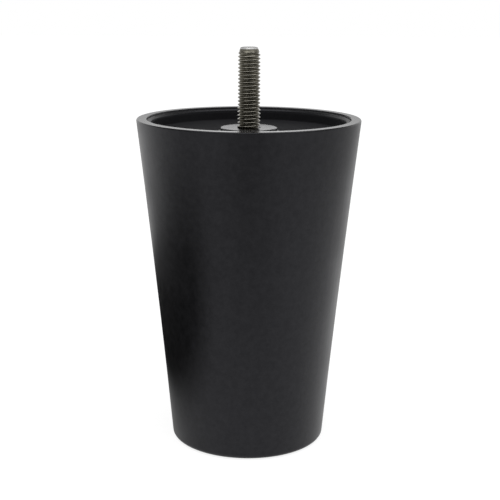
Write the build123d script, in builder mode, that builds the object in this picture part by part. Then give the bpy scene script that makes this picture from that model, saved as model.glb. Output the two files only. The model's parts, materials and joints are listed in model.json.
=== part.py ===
from build123d import *
import os
from math import cos, radians, tan

# Tapered sofa foot: a hollow plastic shell, a plastic insert snapped into its wide end, and a steel stud.
# Lengths are in millimetres. The origin is the middle of the base, and the foot stands along +Z.

# Shell
FOOT_HEIGHT = 115.0  # base to rim
RIM_DIAMETER = 77.7
BASE_DIAMETER = 54.4
SIDE_HOLLOW = 0.35  # how far the outside sags in at mid-height
SHELL_WALL = 3.55  # measured level, at the rim and the base
BASE_THICKNESS = 3.6
RIM_OUTER_RADIUS = 0.5
RIM_INNER_RADIUS = 0.3
BASE_EDGE_RADIUS = 1.6
CAVITY_CORNER_RADIUS = 2.7

# Ribs inside the shell, whose tops carry the insert
STOP_RIB_COUNT = 6
STOP_RIB_THICKNESS = 2.2
STOP_LEDGE = 1.8  # from the insert's skirt to a rib's free edge

# Insert
LIP_DROP = 0.55  # rim down to the lip
LIP_RADIUS = 0.9
RECESS_DEPTH = 4.5  # rim down to the recess floor
RECESS_CORNER_RADIUS = 0.3
INSERT_HEIGHT = 16.2
INSERT_WALL = 1.4
INSERT_FLOOR = 2.7
SEAT_CLEARANCE = 0.1

# Snap bead around the insert's skirt
BEAD_STAND = 3.2  # skirt's lower end up to the bead's middle
BEAD_WIDTH = 2.2
BEAD_HEIGHT = 0.4

# Boss in the middle of the insert
BOSS_DROP = 3.2  # rim down to the boss's top
BOSS_WALL = 2.25  # around the corners of the pocket
BOSS_EDGE_RADIUS = 0.35

# Webs under the insert's floor
WEB_COUNT = 6
WEB_THICKNESS = 1.8
WEB_SETBACK = 1.4  # skirt's lower end up to a web's lower edge

# Stud: a hexagon-head M8 bolt, whose thread measures a little under 8 over its crests
THREAD_DIAMETER = 7.88
THREAD_LENGTH = 27.5  # above the boss
TIP_DIAMETER = 6.5
TIP_LENGTH = 1.0  # plain end
TIP_TAPER = 1.15  # full thread up to the plain end
SHANK_DIAMETER = 7.1  # inside the boss
GRIP_LENGTH = 7.5  # boss's top down to the head
HEAD_ACROSS_FLATS = 13.0
HEAD_HEIGHT = 5.3
HEAD_FACE_RATIO = 0.95  # flat end of the head, as a share of its width across flats
HEAD_CHAMFER_ANGLE = 30.0
HEAD_RECESS = 0.7  # head's end up inside its pocket
HOLE_CLEARANCE = 0.15
POCKET_CLEARANCE = 0.1

HEXAGON_SIDES = 6
HALF_SIDE_ANGLE = radians(180.0 / HEXAGON_SIDES)
FULL_TURN = 360.0

# Heights above the base
lip_z = FOOT_HEIGHT - LIP_DROP
skirt_end_z = lip_z - INSERT_HEIGHT
recess_floor_z = FOOT_HEIGHT - RECESS_DEPTH
floor_underside_z = recess_floor_z - INSERT_FLOOR
bead_z = skirt_end_z + BEAD_STAND
boss_top_z = FOOT_HEIGHT - BOSS_DROP
head_seat_z = boss_top_z - GRIP_LENGTH
head_end_z = head_seat_z - HEAD_HEIGHT
boss_end_z = head_end_z - HEAD_RECESS
stud_top_z = boss_top_z + THREAD_LENGTH
tip_z = stud_top_z - TIP_LENGTH
thread_end_z = tip_z - TIP_TAPER

# Radii about the foot's axis
base_radius = BASE_DIAMETER / 2
rim_radius = RIM_DIAMETER / 2
thread_radius = THREAD_DIAMETER / 2
tip_radius = TIP_DIAMETER / 2
shank_radius = SHANK_DIAMETER / 2
hole_radius = thread_radius + HOLE_CLEARANCE
head_flat_radius = HEAD_ACROSS_FLATS / 2
head_corner_radius = head_flat_radius / cos(HALF_SIDE_ANGLE)
pocket_flat_radius = head_flat_radius + POCKET_CLEARANCE
pocket_corner_radius = pocket_flat_radius / cos(HALF_SIDE_ANGLE)
boss_radius = pocket_corner_radius + BOSS_WALL


def outer_radius(z):
    """Radius at height z of the straight line from base to rim, which the outside sags in from."""
    return base_radius + (rim_radius - base_radius) * z / FOOT_HEIGHT


def cavity_radius(z):
    """Radius of the shell's inside at height z."""
    return outer_radius(z) - SHELL_WALL


def skirt_radius(z):
    """Radius of the insert's outside at height z."""
    return cavity_radius(z) - SEAT_CLEARANCE


def recess_radius(z):
    """Radius of the insert's inside at height z, above and below its floor."""
    return skirt_radius(z) - INSERT_WALL


def corner(section, radius, z):
    """The corner of a section nearest to a radius and height."""
    return section.vertices().sort_by_distance((radius, z))[0]


def spoke_plane(index, count, start_angle):
    """Upright plane through the axis, one of several evenly spaced around it."""
    return Plane.XZ.rotated((0, 0, start_angle + FULL_TURN * index / count))


# Shell: the tapered cup, with a groove for the snap bead and ribs that stop the insert
groove_top_z = bead_z + BEAD_WIDTH / 2 + SEAT_CLEARANCE
groove_end_z = bead_z - BEAD_WIDTH / 2 - SEAT_CLEARANCE
groove_top = (cavity_radius(groove_top_z), groove_top_z)
groove_middle = (cavity_radius(bead_z) + BEAD_HEIGHT, bead_z)
groove_end = (cavity_radius(groove_end_z), groove_end_z)
stop_rib_depth = SEAT_CLEARANCE + INSERT_WALL + STOP_LEDGE
rib_root = SHELL_WALL / 2
rib_foot_z = BASE_THICKNESS / 2
side_middle = (outer_radius(FOOT_HEIGHT / 2) - SIDE_HOLLOW, FOOT_HEIGHT / 2)

with BuildPart() as shell:
    with BuildSketch(Plane.XZ) as shell_section:
        with BuildLine():
            Polyline(
                (0, BASE_THICKNESS),
                (0, 0),
                (base_radius, 0),
            )
            ThreePointArc((base_radius, 0), side_middle, (rim_radius, FOOT_HEIGHT))
            Polyline(
                (rim_radius, FOOT_HEIGHT),
                (cavity_radius(FOOT_HEIGHT), FOOT_HEIGHT),
                groove_top,
            )
            ThreePointArc(groove_top, groove_middle, groove_end)
            Polyline(
                groove_end,
                (cavity_radius(BASE_THICKNESS), BASE_THICKNESS),
                (0, BASE_THICKNESS),
            )
        make_face()
        fillet(corner(shell_section, base_radius, 0), BASE_EDGE_RADIUS)
        fillet(corner(shell_section, rim_radius, FOOT_HEIGHT), RIM_OUTER_RADIUS)
        fillet(corner(shell_section, cavity_radius(FOOT_HEIGHT), FOOT_HEIGHT), RIM_INNER_RADIUS)
        fillet(corner(shell_section, cavity_radius(BASE_THICKNESS), BASE_THICKNESS), CAVITY_CORNER_RADIUS)
    revolve(axis=Axis.Z)

    for index in range(STOP_RIB_COUNT):
        with BuildSketch(spoke_plane(index, STOP_RIB_COUNT, FULL_TURN / STOP_RIB_COUNT / 2)):
            Polygon(
                (cavity_radius(skirt_end_z) - stop_rib_depth, skirt_end_z),
                (cavity_radius(rib_foot_z) - stop_rib_depth, rib_foot_z),
                (cavity_radius(rib_foot_z) + rib_root, rib_foot_z),
                (cavity_radius(skirt_end_z) + rib_root, skirt_end_z),
                align=None,
            )
        extrude(amount=STOP_RIB_THICKNESS / 2, both=True)

# Insert: lip, recess, floor and boss in one moulding, with webs under the floor
bead_top_z = bead_z + BEAD_WIDTH / 2
bead_end_z = bead_z - BEAD_WIDTH / 2
bead_top = (skirt_radius(bead_top_z), bead_top_z)
bead_middle = (skirt_radius(bead_z) + BEAD_HEIGHT, bead_z)
bead_end = (skirt_radius(bead_end_z), bead_end_z)
web_end_z = skirt_end_z + WEB_SETBACK
web_top_z = floor_underside_z + INSERT_FLOOR / 2
web_inner_radius = boss_radius - BOSS_WALL / 2
skirt_middle = INSERT_WALL / 2

with BuildPart() as top_insert:
    with BuildSketch(Plane.XZ) as insert_section:
        with BuildLine():
            Polyline(
                bead_top,
                (skirt_radius(lip_z), lip_z),
                (recess_radius(lip_z), lip_z),
                (recess_radius(recess_floor_z), recess_floor_z),
                (boss_radius, recess_floor_z),
                (boss_radius, boss_top_z),
                (hole_radius, boss_top_z),
                (hole_radius, boss_end_z),
                (boss_radius, boss_end_z),
                (boss_radius, floor_underside_z),
                (recess_radius(floor_underside_z), floor_underside_z),
                (recess_radius(skirt_end_z), skirt_end_z),
                (skirt_radius(skirt_end_z), skirt_end_z),
                bead_end,
            )
            ThreePointArc(bead_end, bead_middle, bead_top)
        make_face()
        fillet(corner(insert_section, recess_radius(lip_z), lip_z), LIP_RADIUS)
        fillet(corner(insert_section, recess_radius(recess_floor_z), recess_floor_z), RECESS_CORNER_RADIUS)
        fillet(corner(insert_section, boss_radius, boss_top_z), BOSS_EDGE_RADIUS)
    revolve(axis=Axis.Z)

    for index in range(WEB_COUNT):
        with BuildSketch(spoke_plane(index, WEB_COUNT, 0)):
            Polygon(
                (web_inner_radius, web_end_z),
                (recess_radius(web_end_z) + skirt_middle, web_end_z),
                (recess_radius(web_top_z) + skirt_middle, web_top_z),
                (web_inner_radius, web_top_z),
                align=None,
            )
        extrude(amount=WEB_THICKNESS / 2, both=True)

    # The pocket under the boss keeps the stud's head from turning
    with BuildSketch(Plane.XY.offset(boss_end_z)):
        RegularPolygon(pocket_flat_radius, HEXAGON_SIDES, major_radius=False)
    extrude(amount=head_seat_z - boss_end_z, mode=Mode.SUBTRACT)

# Stud: the head bears up against its pocket, and the thread stands out of the boss
head_face_radius = HEAD_FACE_RATIO * head_flat_radius
head_chamfer_height = (head_corner_radius - head_face_radius) * tan(radians(HEAD_CHAMFER_ANGLE))

with BuildPart() as stud:
    with BuildSketch(Plane.XY.offset(head_end_z)):
        RegularPolygon(head_flat_radius, HEXAGON_SIDES, major_radius=False)
    extrude(amount=HEAD_HEIGHT)

    # The head's corners are turned off at its free end
    with BuildSketch(Plane.XZ):
        Polygon(
            (0, head_end_z),
            (head_face_radius, head_end_z),
            (head_corner_radius, head_end_z + head_chamfer_height),
            (head_corner_radius, head_seat_z),
            (0, head_seat_z),
            align=None,
        )
    revolve(axis=Axis.Z, mode=Mode.INTERSECT)

    with BuildSketch(Plane.XZ):
        Polygon(
            (0, head_seat_z),
            (shank_radius, head_seat_z),
            (shank_radius, boss_top_z),
            (thread_radius, boss_top_z),
            (thread_radius, thread_end_z),
            (tip_radius, tip_z),
            (tip_radius, stud_top_z),
            (0, stud_top_z),
            align=None,
        )
    revolve(axis=Axis.Z)

shell.part.label = "shell"
top_insert.part.label = "top_insert"
stud.part.label = "stud"

os.makedirs("parts", exist_ok=True)
export_step(shell.part, "parts/shell.step")
export_step(top_insert.part, "parts/top_insert.step")
export_step(stud.part, "parts/stud.step")
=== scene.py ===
import json
import math

import bmesh
import bpy
from mathutils import Matrix, Vector


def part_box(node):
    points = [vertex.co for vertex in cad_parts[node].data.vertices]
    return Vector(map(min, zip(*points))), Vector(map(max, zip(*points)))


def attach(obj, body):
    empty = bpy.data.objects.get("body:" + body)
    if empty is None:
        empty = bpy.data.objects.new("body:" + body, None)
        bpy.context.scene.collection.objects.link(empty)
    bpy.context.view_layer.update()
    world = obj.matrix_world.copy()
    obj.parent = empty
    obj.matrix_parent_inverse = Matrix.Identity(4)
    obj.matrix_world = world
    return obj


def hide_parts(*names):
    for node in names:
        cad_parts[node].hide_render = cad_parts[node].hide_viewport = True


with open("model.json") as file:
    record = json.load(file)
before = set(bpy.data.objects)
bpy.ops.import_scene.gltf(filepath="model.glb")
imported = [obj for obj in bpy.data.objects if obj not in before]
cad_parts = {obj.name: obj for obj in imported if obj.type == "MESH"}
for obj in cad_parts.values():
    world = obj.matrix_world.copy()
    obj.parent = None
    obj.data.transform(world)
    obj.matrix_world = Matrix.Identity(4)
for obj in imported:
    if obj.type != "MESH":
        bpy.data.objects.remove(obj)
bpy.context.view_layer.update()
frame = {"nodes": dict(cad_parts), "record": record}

MM = 0.001

# Camera: place in metres, angles in degrees, sensor and lens in millimetres
CAMERA_DISTANCE = 0.3871
CAMERA_HEIGHT = 0.1608
CAMERA_PITCH = 13.47
CAMERA_YAW = 0.09
CAMERA_ROLL = 0.29
SENSOR_WIDTH = 36.0
LENS = 80.64
CLIP_START = 0.01
CLIP_END = 20.0

# White floor, with a glow that grows with the distance from the foot
FLOOR_HALF = 3.0
FLOOR_DROP = 0.0002  # below the base of the foot
FLOOR_TONE = 0.25
FLOOR_GLOW_NEAR = 0.83
FLOOR_GLOW_FAR = 0.95
FLOOR_FADE_START = 0.3
FLOOR_FADE_END = 1.5

# Surroundings: white at the horizon, darker upwards and to the front
SKY_LIGHT = 0.5
SKY_WHITE_BELOW = math.sin(math.radians(16))
SKY_DARK_ABOVE = math.sin(math.radians(36))
SKY_DARK = 0.1
ROOM_DARK = 0.3
ROOM_FRONT = -0.5
ROOM_BACK = 0.3

# Soft box
SOFT_BOX_PLACE = (0.05, -0.28, 1.0)
SOFT_BOX_TARGET = (0.0, 0.0, 0.05)
SOFT_BOX_WIDTH = 1.8
SOFT_BOX_DEPTH = 1.0
SOFT_BOX_POWER = 12.0

# Oval cards on the floor that only show in reflections, where they paint dark reflections and shade:
# middle, half sizes, turn in degrees, darkness, and share of the half size that is evenly dark
CARDS = {
    # painted shadow: the foot's contact shadow on the floor at its left, seen only in reflections
    "contact_shadow_card": ((-0.028, 0.001), (0.026, 0.031), 0.0, 0.54, 0.0),
    "left_card": ((-0.153, 0.047), (0.131, 0.238), -16.0, 1.0, 0.68),
    # painted shade in reflections: the floor in front, on the camera's side, made darker
    "camera_card": ((0.0, -0.480), (0.210, 0.430), 0.0, 0.86, 0.0),
    "right_card": ((0.600, 0.250), (0.430, 0.700), 0.0, 0.62, 0.0),
}
CARD_LIFT = 0.0004
CARD_STEP = 0.0001  # between one card and the next
CARD_POINTS = 64
CARD_TONE = 0.005

# Noises of the finishes: scale, detail and roughness
MOTTLING = (420.0, 4.0, 0.72)
PLASTIC_PATCHES = (60.0, 4.0, 0.5)
PLASTIC_GRAIN = (1800.0, 2.0, 0.5)
STEEL_BLOTCHES = (350.0, 3.0, 0.6)
STEEL_PATCHES = (600.0, 3.0, 0.5)
STEEL_MARKS = (5000.0, 2.0, 0.5)
NOISE_RANGE = (0.3, 0.7)  # where most of a noise lies
MOTTLING_RANGE = (0.34, 0.66)
EVEN = (1.0, 1.0, 1.0)
STEEL_MARKS_SCALE = (1.0, 1.0, 0.3)  # drawn out along the stud
GRAIN_HEIGHT = 0.017 * MM
STEEL_MARKS_HEIGHT = 0.0005 * MM
TEXTURE_STRENGTH = 0.5

# Plastic: darkest and lightest tone, least and greatest roughness
SHELL_TONES = ((0.0004, 0.0004, 0.00045), (0.0088, 0.0088, 0.0095))
SHELL_GLOSS = (0.33, 0.40)
SHELL_SPECULAR = 0.295
INSERT_TONES = ((0.0025, 0.0025, 0.0027), (0.0040, 0.0040, 0.0043))
INSERT_GLOSS = (0.9, 1.0)
INSERT_SPECULAR = 0.33
PLASTIC_TINT = (0.91, 0.91, 1.0)  # of the gloss

# Smoother parts of the plastic. A band starts at its depth below the edge and is full at the second depth
RIM_BAND = 0.5 * MM
RIM_FULL = 0.1 * MM
RIM_ROUGHNESS = 0.14
RIM_STRETCH = 1.0  # of the gloss, around the axis
RIM_DISH = 0.05  # slope of the rim's face towards the axis
LIP_BAND = 1.6 * MM
LIP_FULL = 0.8 * MM
LIP_ROUGHNESS = 0.42
BOSS_REACH = 10.5 * MM
BOSS_EDGE = 0.3 * MM
BOSS_ROUGHNESS = 0.17

# Steel
STEEL_OILED = ((0.138, 0.131, 0.106), (0.24, 0.228, 0.19))
# lighter crest colour: worn steel and a painted highlight
STEEL_CREST_WEAR_AND_HIGHLIGHT = (0.36, 0.345, 0.30)
STEEL_BARE = (0.6, 0.597, 0.59)
STEEL_GLOSS = (0.11, 0.18)

# Thread
THREAD_PITCH = 1.25 * MM
THREAD_DEPTH = 0.53 * THREAD_PITCH
THREAD_PHASE = -0.2  # in turns
# Outline of one turn, from root to root: place along the pitch and share of the depth
THREAD_PROFILE = (
    (-0.50, 1.0), (-0.45, 0.985), (-0.40, 0.93), (-0.25, 0.49), (-0.095, 0.05), (-0.06, 0.0),
    (0.06, 0.0), (0.095, 0.05), (0.25, 0.49), (0.40, 0.93), (0.45, 0.985),
)
SPARE_TURNS = 4  # past the two ends, where the rows are held
CREST_WEAR_AND_HIGHLIGHT_BAND = 0.08 * MM  # depth of the lighter crest: worn steel and a painted highlight

# Head and shank
HEAD_ACROSS_FLATS = 13.0 * MM
HEAD_HEIGHT = 5.3 * MM
HEAD_FACE_RATIO = 0.95
HEAD_CHAMFER_SLOPE = math.tan(math.radians(30))
SHANK_RADIUS = 3.55 * MM
START_SLOPE = 2.0  # how fast the thread grows out of the shank

# Bare tip: radius and depth below the top, in millimetres
END_OUTLINE = ((3.15, 0.75), (3.03, 0.36), (2.8, 0.16), (2.4, 0.06), (1.6, 0.01), (0.6, 0.0))
END_RADIUS = END_OUTLINE[0][0] * MM
END_DEPTH = END_OUTLINE[0][1] * MM
END_EDGE = 0.05 * END_DEPTH  # height over which the bare steel begins
END_PLAIN = 0.8 * MM  # unthreaded length
END_SLOPE = 0.4  # how fast the thread runs out
END_CUT = 2.4 * MM  # reach of the rougher steel
END_ROUGHNESS = 0.6

# Mesh of the stud
STUD_COLUMNS = 96
MERGE_DISTANCE = 0.0001 * MM
SHARP_ANGLE = math.radians(38)

# Data types of a Mix node, and the type of their sockets
MIX_SOCKETS = {"RGBA": "RGBA", "FLOAT": "VALUE"}


def add_object(name, data):
    """A new object in the scene."""
    item = bpy.data.objects.new(name, data)
    bpy.context.scene.collection.objects.link(item)
    return item


def grey(level):
    """A neutral colour."""
    return (level, level, level, 1.0)


def bare_material(name):
    """A material with its output alone."""
    material = bpy.data.materials.new(name)
    material.use_nodes = True
    tree = material.node_tree
    tree.nodes.clear()
    output = tree.nodes.new("ShaderNodeOutputMaterial")
    return material, tree, output


def principled_material(name):
    """A material with its Principled shader."""
    material, tree, output = bare_material(name)
    shader = tree.nodes.new("ShaderNodeBsdfPrincipled")
    tree.links.new(shader.outputs["BSDF"], output.inputs["Surface"])
    return material, tree, shader


def noise_node(tree, noise, scale=EVEN):
    """Noise in object space, so that it stays on the surface."""
    size, detail, roughness = noise
    coordinates = tree.nodes.new("ShaderNodeTexCoord")
    mapping = tree.nodes.new("ShaderNodeMapping")
    texture = tree.nodes.new("ShaderNodeTexNoise")
    mapping.inputs["Scale"].default_value = scale
    texture.inputs["Scale"].default_value = size
    texture.inputs["Detail"].default_value = detail
    texture.inputs["Roughness"].default_value = roughness
    tree.links.new(coordinates.outputs["Object"], mapping.inputs["Vector"])
    tree.links.new(mapping.outputs["Vector"], texture.inputs["Vector"])
    return texture.outputs["Fac"]


def map_range(tree, value, low, high, start, end):
    """A value from start to end, brought to the range from low to high."""
    node = tree.nodes.new("ShaderNodeMapRange")
    node.inputs["From Min"].default_value = start
    node.inputs["From Max"].default_value = end
    node.inputs["To Min"].default_value = low
    node.inputs["To Max"].default_value = high
    tree.links.new(value, node.inputs["Value"])
    return node.outputs["Result"]


def set_or_link(tree, socket, value):
    """A fixed number or colour is set on the socket, and what comes from a node is linked to it."""
    if isinstance(value, bpy.types.NodeSocket):
        tree.links.new(value, socket)
    elif isinstance(value, tuple):
        socket.default_value = (*value, 1.0)
    else:
        socket.default_value = value


def mix(tree, data_type, factor, first, second):
    """A number or colour between two, by a factor from 0 to 1."""
    node = tree.nodes.new("ShaderNodeMix")
    node.data_type = data_type
    kind = MIX_SOCKETS[data_type]
    for name, value in (("A", first), ("B", second)):
        socket = next(socket for socket in node.inputs if socket.name == name and socket.type == kind)
        set_or_link(tree, socket, value)
    tree.links.new(factor, node.inputs["Factor"])
    return next(socket for socket in node.outputs if socket.type == kind)


def mix_shaders(tree, factor, first, second):
    """A shader between two, by a factor from 0 to 1."""
    node = tree.nodes.new("ShaderNodeMixShader")
    tree.links.new(factor, node.inputs["Fac"])
    tree.links.new(first, node.inputs[1])
    tree.links.new(second, node.inputs[2])
    return node.outputs["Shader"]


def combine(tree, operation, first, second):
    """Two values combined by an operation."""
    node = tree.nodes.new("ShaderNodeMath")
    node.operation = operation
    tree.links.new(first, node.inputs[0])
    tree.links.new(second, node.inputs[1])
    return node.outputs["Value"]


def bump(tree, height, distance, strength, normal=None):
    """A bump over an earlier normal."""
    node = tree.nodes.new("ShaderNodeBump")
    node.inputs["Strength"].default_value = strength
    node.inputs["Distance"].default_value = distance
    tree.links.new(height, node.inputs["Height"])
    if normal is not None:
        tree.links.new(normal, node.inputs["Normal"])
    return node.outputs["Normal"]


def height_mask(tree, start, end):
    """0 below one height and 1 above another."""
    coordinates = tree.nodes.new("ShaderNodeTexCoord")
    split = tree.nodes.new("ShaderNodeSeparateXYZ")
    tree.links.new(coordinates.outputs["Object"], split.inputs["Vector"])
    return map_range(tree, split.outputs["Z"], 0.0, 1.0, start, end)


def axis_distance(tree):
    """Distance from the object's own Z axis."""
    coordinates = tree.nodes.new("ShaderNodeTexCoord")
    level = tree.nodes.new("ShaderNodeVectorMath")
    level.operation = "MULTIPLY"
    level.inputs[1].default_value = (1.0, 1.0, 0.0)
    reach = tree.nodes.new("ShaderNodeVectorMath")
    reach.operation = "LENGTH"
    tree.links.new(coordinates.outputs["Object"], level.inputs[0])
    tree.links.new(level.outputs["Vector"], reach.inputs[0])
    return reach.outputs["Value"]


def reflected_rays(tree, path):
    """1 for rays that come from a glossy or a clear surface."""
    return combine(tree, "MAXIMUM", path.outputs["Is Glossy Ray"], path.outputs["Is Transmission Ray"])


def stretch_gloss(tree, shader, mask, stretch):
    """Gloss that is stretched around the axis where the mask is 1."""
    around = tree.nodes.new("ShaderNodeTangent")
    around.direction_type = "RADIAL"
    around.axis = "Z"
    tree.links.new(map_range(tree, mask, 0.0, stretch, 0.0, 1.0), shader.inputs["Anisotropic"])
    tree.links.new(around.outputs["Tangent"], shader.inputs["Tangent"])


def black_plastic(name, tones, gloss_range, specular, smoother_parts, dish):
    """Satin moulded plastic: soft mottling, fine grain, slight changes of gloss, and smoother parts."""
    material, tree, shader = principled_material(name)
    cloud = map_range(tree, noise_node(tree, MOTTLING), 0.0, 1.0, *MOTTLING_RANGE)
    colour = mix(tree, "RGBA", cloud, *tones)
    plain = tuple((dark + light) / 2 for dark, light in zip(*tones))
    gloss = map_range(tree, noise_node(tree, PLASTIC_PATCHES), *gloss_range, *NOISE_RANGE)
    for make_mask, roughness, stretch in smoother_parts:
        mask = make_mask(tree)
        colour = mix(tree, "RGBA", mask, colour, plain)
        gloss = mix(tree, "FLOAT", mask, gloss, roughness)
        if stretch:
            stretch_gloss(tree, shader, mask, stretch)
    normal = bump(tree, noise_node(tree, PLASTIC_GRAIN), GRAIN_HEIGHT, TEXTURE_STRENGTH)
    if dish:
        normal = bump(tree, axis_distance(tree), dish, 1.0, normal)
    tree.links.new(colour, shader.inputs["Base Color"])
    tree.links.new(gloss, shader.inputs["Roughness"])
    tree.links.new(normal, shader.inputs["Normal"])
    shader.inputs["Specular IOR Level"].default_value = specular
    shader.inputs["Specular Tint"].default_value = (*PLASTIC_TINT, 1.0)
    return material


def dark_steel(name, crest_radius, top):
    """Oiled dark steel: uneven tone along the turns, crests lighter from wear and a painted highlight, and
    a bare cut end.
    """
    material, tree, shader = principled_material(name)
    blotch = map_range(tree, noise_node(tree, STEEL_BLOTCHES), 0.0, 1.0, *NOISE_RANGE)
    oiled = mix(tree, "RGBA", blotch, *STEEL_OILED)
    # painted highlight, with some wear: the steel is lighter towards the crest radius
    lit_and_worn_crest_mask = map_range(tree, axis_distance(tree), 0.0, 1.0, crest_radius - CREST_WEAR_AND_HIGHLIGHT_BAND, crest_radius)
    steel_with_crest_wear_and_highlight = mix(tree, "RGBA", lit_and_worn_crest_mask, oiled, STEEL_CREST_WEAR_AND_HIGHLIGHT)
    bare = height_mask(tree, top - END_DEPTH, top - END_DEPTH + END_EDGE)
    colour = mix(tree, "RGBA", bare, steel_with_crest_wear_and_highlight, STEEL_BARE)
    gloss = map_range(tree, noise_node(tree, STEEL_PATCHES), *STEEL_GLOSS, *NOISE_RANGE)
    cut = height_mask(tree, top - END_CUT, top - END_DEPTH)
    gloss = mix(tree, "FLOAT", cut, gloss, END_ROUGHNESS)
    marks = noise_node(tree, STEEL_MARKS, STEEL_MARKS_SCALE)
    normal = bump(tree, marks, STEEL_MARKS_HEIGHT, TEXTURE_STRENGTH)
    tree.links.new(colour, shader.inputs["Base Color"])
    tree.links.new(gloss, shader.inputs["Roughness"])
    tree.links.new(normal, shader.inputs["Normal"])
    shader.inputs["Metallic"].default_value = 1.0
    return material


def add_point(mesh, radius, angle, z):
    """A point at a radius and an angle about the Z axis."""
    return mesh.verts.new((radius * math.cos(angle), radius * math.sin(angle), z))


def add_ring(mesh, height_at, radius_at):
    """A ring of points about the Z axis. Its height can depend on the radius."""
    ring = []
    for column in range(STUD_COLUMNS):
        angle = 2 * math.pi * column / STUD_COLUMNS
        radius = radius_at(angle)
        ring.append(add_point(mesh, radius, angle, height_at(radius)))
    return ring


def add_rings(mesh, outline):
    """Rings one above the other, with a band of faces between each two."""
    rings = [add_ring(mesh, *ring) for ring in outline]
    for lower, upper in zip(rings, rings[1:]):
        for column in range(STUD_COLUMNS):
            after = (column + 1) % STUD_COLUMNS
            mesh.faces.new((lower[column], lower[after], upper[after], upper[column]))
    return rings


def add_thread(mesh, low, high, radius_at):
    """Rows of points that climb one pitch in a turn and are held between two heights."""
    turns = math.ceil((high - low) / THREAD_PITCH) + SPARE_TURNS
    rows = []
    for turn in range(turns):
        for place, share in THREAD_PROFILE:
            row = []
            for column in range(STUD_COLUMNS):
                around = column / STUD_COLUMNS
                z = low + THREAD_PITCH * (turn - 1 + place + around + THREAD_PHASE)
                z = min(max(z, low), high)
                row.append(add_point(mesh, radius_at(z, share), 2 * math.pi * around, z))
            rows.append(row)
    step = len(THREAD_PROFILE)
    for index in range(len(rows) - step - 1):
        # The end of a row joins the start of the row one turn above
        lower = rows[index] + rows[index + step][:1]
        upper = rows[index + 1] + rows[index + step + 1][:1]
        for column in range(STUD_COLUMNS):
            mesh.faces.new((lower[column], lower[column + 1], upper[column + 1], upper[column]))


def hexagon_radius(angle):
    """Distance from the axis to the head's side, with corners at 0, 60 and so on."""
    side = math.radians(60)
    return HEAD_ACROSS_FLATS / 2 / math.cos((angle % side) - side / 2)


def make_stud():
    """The bolt: hexagon head, plain shank, and a helical thread that runs out at the tip."""
    mount = next(mount for mount in frame["record"]["mounts"] if mount["name"] == "stud_thread")
    crest_radius = mount["dims"]["r_mm"] * MM
    thread_start = mount["pos_m"][2] - mount["dims"]["length_mm"] * MM / 2
    low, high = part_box("stud")
    top = high.z
    head_end = low.z
    head_seat = head_end + HEAD_HEIGHT
    face_radius = HEAD_FACE_RATIO * HEAD_ACROSS_FLATS / 2

    def flat(z):
        return lambda radius: z

    def round_at(radius):
        return lambda angle: radius

    def chamfer_height(radius):
        """The chamfer rises towards the corners."""
        return head_end + max(0.0, radius - face_radius) * HEAD_CHAMFER_SLOPE

    def thread_radius(z, share):
        """The thread grows out of the shank below and runs out at the tip."""
        radius = crest_radius - THREAD_DEPTH * share
        ends = (
            (SHANK_RADIUS, z - thread_start, START_SLOPE),
            (END_RADIUS, top - END_PLAIN - z, END_SLOPE),
        )
        for middle, reach, slope in ends:
            swing = max(0.0, reach) * slope
            radius = min(max(radius, middle - swing), middle + swing)
        return radius

    head_outline = [
        (flat(head_end), round_at(face_radius)),
        (chamfer_height, hexagon_radius),
        (flat(head_seat), hexagon_radius),
        (flat(head_seat), round_at(SHANK_RADIUS)),
        (flat(thread_start), round_at(SHANK_RADIUS)),
    ]
    tip_outline = [(flat(top - depth * MM), round_at(radius * MM)) for radius, depth in END_OUTLINE]
    mesh = bmesh.new()
    head = add_rings(mesh, head_outline)
    mesh.faces.new(head[0][::-1])
    tip = add_rings(mesh, tip_outline)
    mesh.faces.new(tip[-1])
    add_thread(mesh, thread_start, top - END_DEPTH, thread_radius)
    bmesh.ops.remove_doubles(mesh, verts=mesh.verts[:], dist=MERGE_DISTANCE)
    data = bpy.data.meshes.new("stud_bolt")
    mesh.to_mesh(data)
    mesh.free()
    data.polygons.foreach_set("use_smooth", [True] * len(data.polygons))
    data.set_sharp_from_angle(angle=SHARP_ANGLE)
    data.materials.append(dark_steel("dark_steel", crest_radius, top))
    stud = add_object("stud_bolt", data)
    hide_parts("stud")
    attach(stud, "root")


def finish_plastic():
    """The two mouldings keep their solids and get their finish."""
    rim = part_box("shell")[1].z
    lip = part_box("top_insert")[1].z

    def rim_mask(tree):
        return height_mask(tree, rim - RIM_BAND, rim - RIM_FULL)

    def lip_mask(tree):
        return height_mask(tree, lip - LIP_BAND, lip - LIP_FULL)

    def boss_mask(tree):
        return map_range(tree, axis_distance(tree), 1.0, 0.0, BOSS_REACH, BOSS_REACH + BOSS_EDGE)

    shell_parts = [(rim_mask, RIM_ROUGHNESS, RIM_STRETCH)]
    insert_parts = [(lip_mask, LIP_ROUGHNESS, 0.0), (boss_mask, BOSS_ROUGHNESS, 0.0)]
    shell = black_plastic("shell_plastic", SHELL_TONES, SHELL_GLOSS, SHELL_SPECULAR, shell_parts, RIM_DISH)
    insert = black_plastic("insert_plastic", INSERT_TONES, INSERT_GLOSS, INSERT_SPECULAR, insert_parts, 0.0)
    for node, material in (("shell", shell), ("top_insert", insert)):
        data = frame["nodes"][node].data
        data.materials.clear()
        data.materials.append(material)


def make_camera():
    """The photograph's view: above the rim, looking down along +Y."""
    data = bpy.data.cameras.new("camera")
    data.sensor_width = SENSOR_WIDTH
    data.lens = LENS
    data.clip_start = CLIP_START
    data.clip_end = CLIP_END
    camera = add_object("camera", data)
    place = Matrix.Translation((0, -CAMERA_DISTANCE, CAMERA_HEIGHT))
    turn = Matrix.Rotation(math.radians(-CAMERA_YAW), 4, "Z")
    tilt = Matrix.Rotation(math.radians(90.0 - CAMERA_PITCH), 4, "X")
    roll = Matrix.Rotation(math.radians(CAMERA_ROLL), 4, "Z")
    camera.matrix_world = place @ turn @ tilt @ roll
    bpy.context.scene.camera = camera


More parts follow.
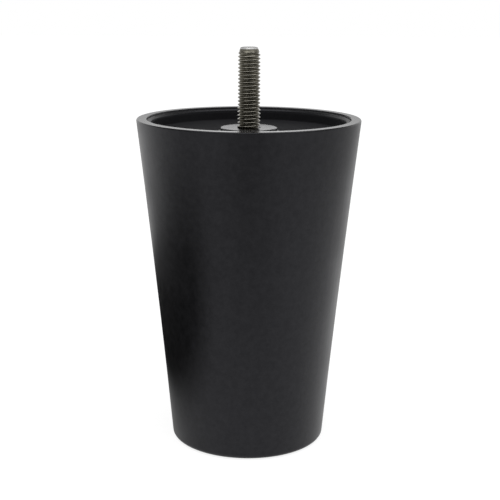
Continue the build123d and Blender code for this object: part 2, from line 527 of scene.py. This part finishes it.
def make_world():
    """White where it is seen, softer as a light, and in reflections darker above and in front."""
    world = bpy.data.worlds.new("studio")
    bpy.context.scene.world = world
    world.use_nodes = True
    tree = world.node_tree
    background = tree.nodes["Background"]
    path = tree.nodes.new("ShaderNodeLightPath")
    coordinates = tree.nodes.new("ShaderNodeTexCoord")
    split = tree.nodes.new("ShaderNodeSeparateXYZ")
    tree.links.new(coordinates.outputs["Generated"], split.inputs["Vector"])
    horizon = map_range(tree, split.outputs["Z"], 1.0, SKY_DARK, SKY_WHITE_BELOW, SKY_DARK_ABOVE)
    room = map_range(tree, split.outputs["Y"], ROOM_DARK, 1.0, ROOM_FRONT, ROOM_BACK)
    mirrored = combine(tree, "MULTIPLY", horizon, room)
    strength = mix(tree, "FLOAT", reflected_rays(tree, path), SKY_LIGHT, mirrored)
    strength = mix(tree, "FLOAT", path.outputs["Is Camera Ray"], strength, 1.0)
    tree.links.new(strength, background.inputs["Strength"])
    background.inputs["Color"].default_value = grey(1.0)


def floor_material():
    """White that keeps the shadow: its own shading, lifted to white where it is seen. Clear from below."""
    material, tree, output = bare_material("floor_white")
    diffuse = tree.nodes.new("ShaderNodeBsdfDiffuse")
    glow = tree.nodes.new("ShaderNodeEmission")
    both = tree.nodes.new("ShaderNodeAddShader")
    clear = tree.nodes.new("ShaderNodeBsdfTransparent")
    geometry = tree.nodes.new("ShaderNodeNewGeometry")
    path = tree.nodes.new("ShaderNodeLightPath")
    diffuse.inputs["Color"].default_value = grey(FLOOR_TONE)
    glow_range = (FLOOR_GLOW_NEAR, FLOOR_GLOW_FAR)
    lift = map_range(tree, axis_distance(tree), *glow_range, FLOOR_FADE_START, FLOOR_FADE_END)
    seen = combine(tree, "MAXIMUM", path.outputs["Is Camera Ray"], reflected_rays(tree, path))
    tree.links.new(combine(tree, "MULTIPLY", lift, seen), glow.inputs["Strength"])
    tree.links.new(diffuse.outputs["BSDF"], both.inputs[0])
    tree.links.new(glow.outputs["Emission"], both.inputs[1])
    backfacing = geometry.outputs["Backfacing"]
    one_sided = mix_shaders(tree, backfacing, both.outputs["Shader"], clear.outputs["BSDF"])
    tree.links.new(one_sided, output.inputs["Surface"])
    return material


def make_floor():
    """A square floor just below the foot."""
    data = bpy.data.meshes.new("floor")
    corners = [(-FLOOR_HALF, -FLOOR_HALF, 0), (FLOOR_HALF, -FLOOR_HALF, 0),
               (FLOOR_HALF, FLOOR_HALF, 0), (-FLOOR_HALF, FLOOR_HALF, 0)]
    data.from_pydata(corners, [], [(0, 1, 2, 3)])
    data.materials.append(floor_material())
    floor = add_object("floor", data)
    floor.location.z = -FLOOR_DROP


def make_soft_box():
    """A soft box that faces the foot."""
    data = bpy.data.lights.new("soft_box", "AREA")
    data.shape = "RECTANGLE"
    data.size = SOFT_BOX_WIDTH
    data.size_y = SOFT_BOX_DEPTH
    data.energy = SOFT_BOX_POWER
    light = add_object("soft_box", data)
    light.location = SOFT_BOX_PLACE
    facing = Vector(SOFT_BOX_TARGET) - Vector(SOFT_BOX_PLACE)
    light.rotation_euler = facing.to_track_quat("-Z", "Y").to_euler()


def card_material(name, darkness, even_share):
    """Black for a painted dark reflection, which fades to clear towards the edge."""
    material, tree, output = bare_material(name)
    clear = tree.nodes.new("ShaderNodeBsdfTransparent")
    black = tree.nodes.new("ShaderNodeBsdfDiffuse")
    black.inputs["Color"].default_value = grey(CARD_TONE)
    cover = map_range(tree, axis_distance(tree), darkness, 0.0, even_share, 1.0)
    faded = mix_shaders(tree, cover, clear.outputs["BSDF"], black.outputs["BSDF"])
    tree.links.new(faded, output.inputs["Surface"])
    return material


def make_card(name, lift, middle, half_sizes, turn, darkness, even_share):
    """A dark oval on the floor with a soft edge, which only shows in reflections, as a painted dark
    reflection.
    """
    angles = [2 * math.pi * index / CARD_POINTS for index in range(CARD_POINTS)]
    points = [(math.cos(angle), math.sin(angle), 0.0) for angle in angles]
    data = bpy.data.meshes.new(name)
    data.from_pydata(points, [], [tuple(range(CARD_POINTS))])
    data.materials.append(card_material(name, darkness, even_share))
    card = add_object(name, data)
    card.location = (*middle, lift)
    card.rotation_euler = (0.0, 0.0, math.radians(turn))
    card.scale = (*half_sizes, 1.0)
    card.visible_camera = False
    card.visible_diffuse = False
    card.visible_shadow = False
    card.visible_transmission = False


make_camera()
make_world()
make_floor()
make_soft_box()
for index, (card_name, card) in enumerate(CARDS.items()):
    make_card(card_name, CARD_LIFT + CARD_STEP * index, *card)
finish_plastic()
make_stud()
bpy.context.scene.view_settings.view_transform = "Standard"
